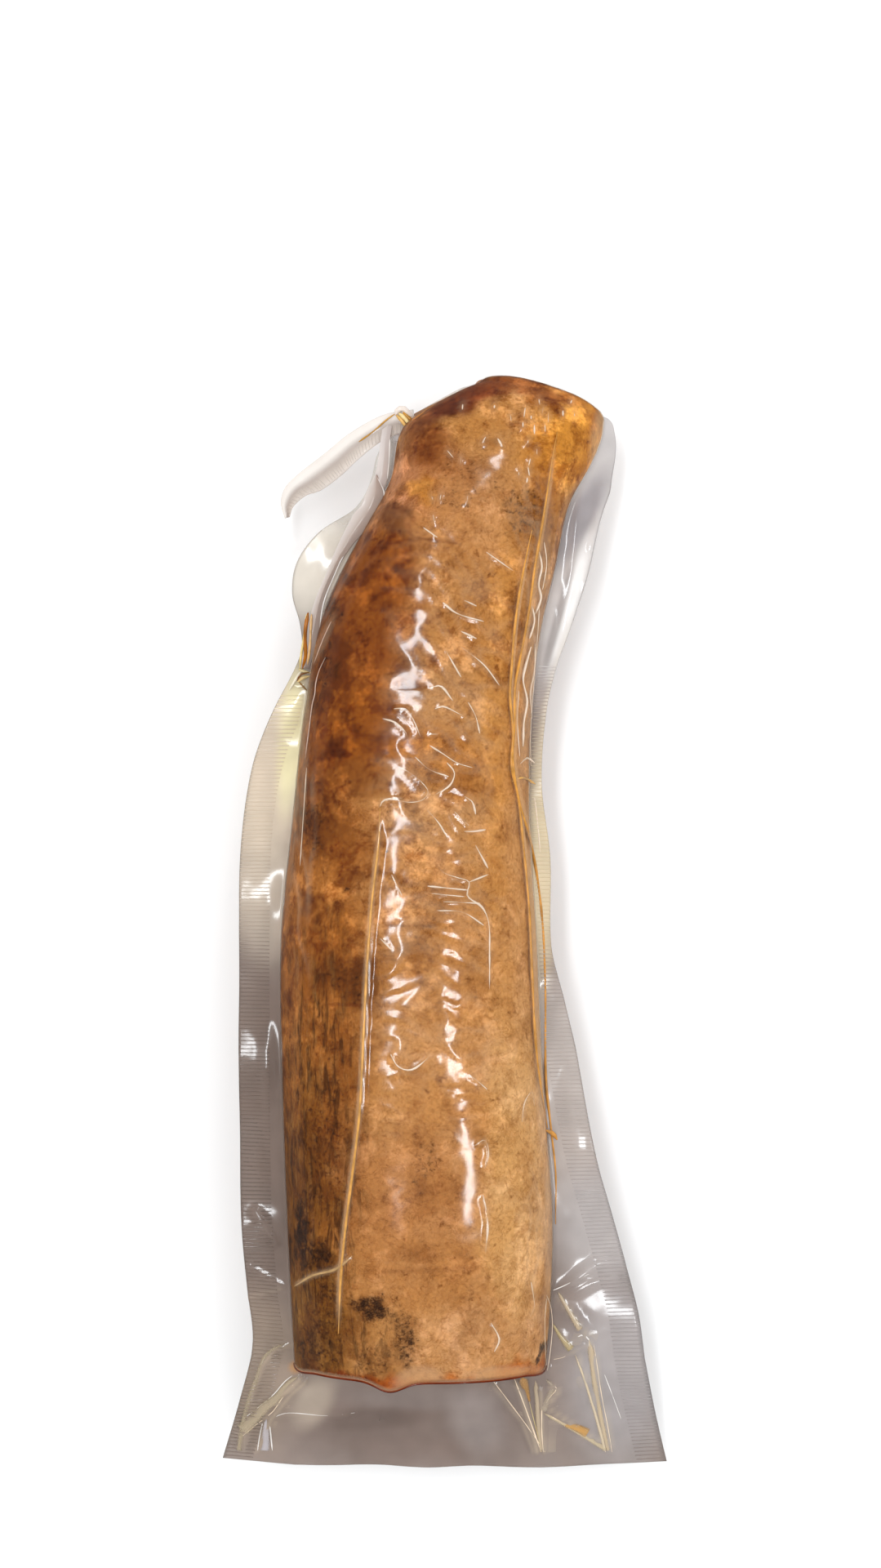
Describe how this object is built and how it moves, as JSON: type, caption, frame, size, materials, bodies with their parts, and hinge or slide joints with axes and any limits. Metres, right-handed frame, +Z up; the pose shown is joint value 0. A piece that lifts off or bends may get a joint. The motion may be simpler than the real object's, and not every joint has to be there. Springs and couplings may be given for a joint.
{
  "type": "vacuum-packed chorizo",
  "caption": "Cut piece of thick cured chorizo in its casing, sealed in a clear vacuum pouch whose film stands out as thin margins; lies on its back.",
  "frame": {"origin": "on the surface the pack lies on, under the middle of its bounding box", "axes": "+Y along the pack to the sausage's rounded end, +Z up out of the shown side, +X to the side that the sausage bends to"},
  "size_m": [0.1034, 0.2516, 0.0535],
  "materials": {
    "chorizo": "mottled brown gut casing of a cured sausage, seen through tight glossy film",
    "film": "clear glossy pouch film, slightly grey where it stands alone"
  },
  "bodies": {
    "root": {"vacuum_pack": "chorizo"}
  },
  "joints": []
}
